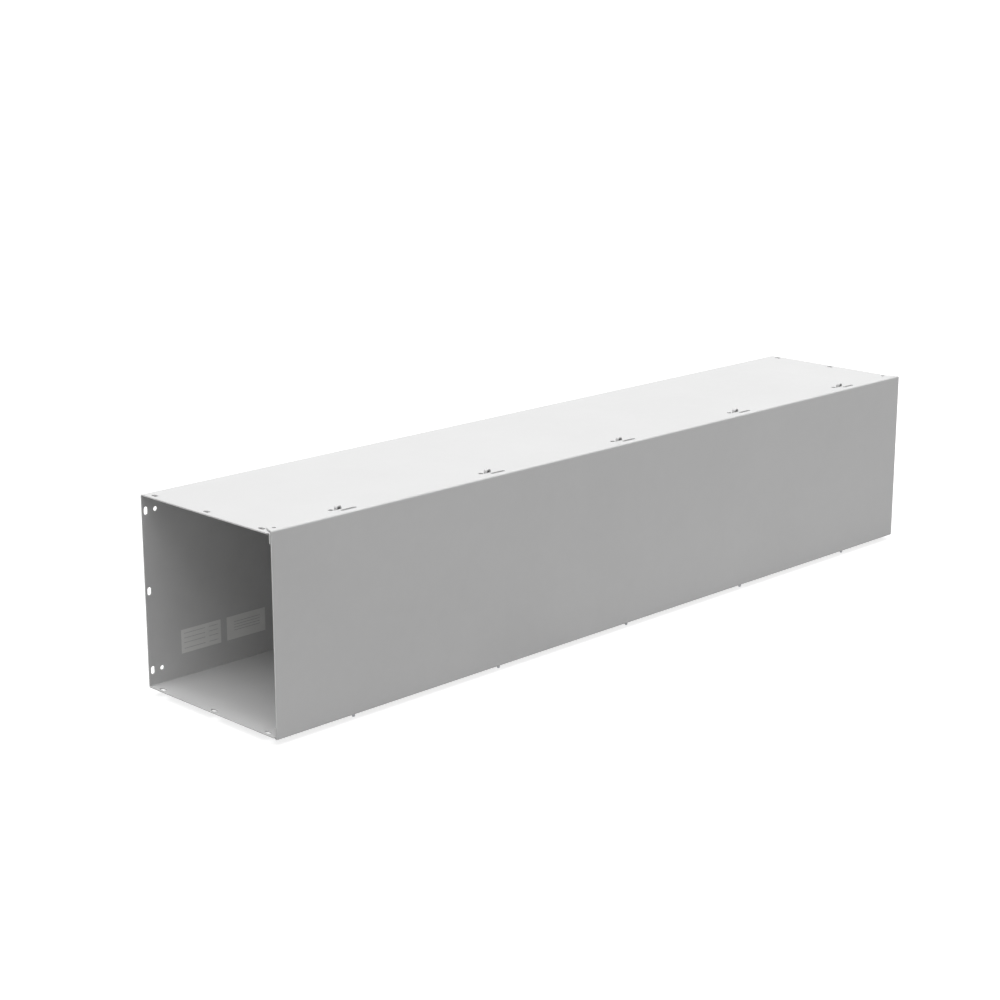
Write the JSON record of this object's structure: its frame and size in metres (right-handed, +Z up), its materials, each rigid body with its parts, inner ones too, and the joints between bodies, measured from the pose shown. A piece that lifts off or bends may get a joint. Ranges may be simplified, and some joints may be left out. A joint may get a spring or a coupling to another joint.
{
  "type": "hinged cover wireway",
  "caption": "Long square sheet-steel wireway, open at both ends, with a front cover that swings up on tabs along its top edge and is held by nuts on studs below.",
  "frame": {"origin": "on the floor below the middle of the wireway, level with the tips of the cover studs", "axes": "+X along the wireway from its labelled open end, -Y out of the cover, +Z up"},
  "size_m": [1.524, 0.3046, 0.3259],
  "materials": {
    "grey_paint": "satin light grey powder coat",
    "zinc_plate": "zinc plated",
    "label_vinyl": "matt printed film"
  },
  "bodies": {
    "trough": {"trough": "grey_paint", "cover_stud_1": "zinc_plate", "cover_stud_2": "zinc_plate", "cover_stud_3": "zinc_plate", "cover_stud_4": "zinc_plate", "cover_stud_5": "zinc_plate", "cover_nut_1": "zinc_plate", "cover_nut_2": "zinc_plate", "cover_nut_3": "zinc_plate", "cover_nut_4": "zinc_plate", "cover_nut_5": "zinc_plate", "label_left": "label_vinyl", "label_right": "label_vinyl"},
    "cover": {"cover": "grey_paint"}
  },
  "joints": [
    {"name": "cover_hinge", "type": "hinge", "parent": "trough", "child": "cover", "pos_m": [0, -0.13165, 0.3204], "axis": [-1, 0, 0], "range_deg": [0, 105]}
  ]
}
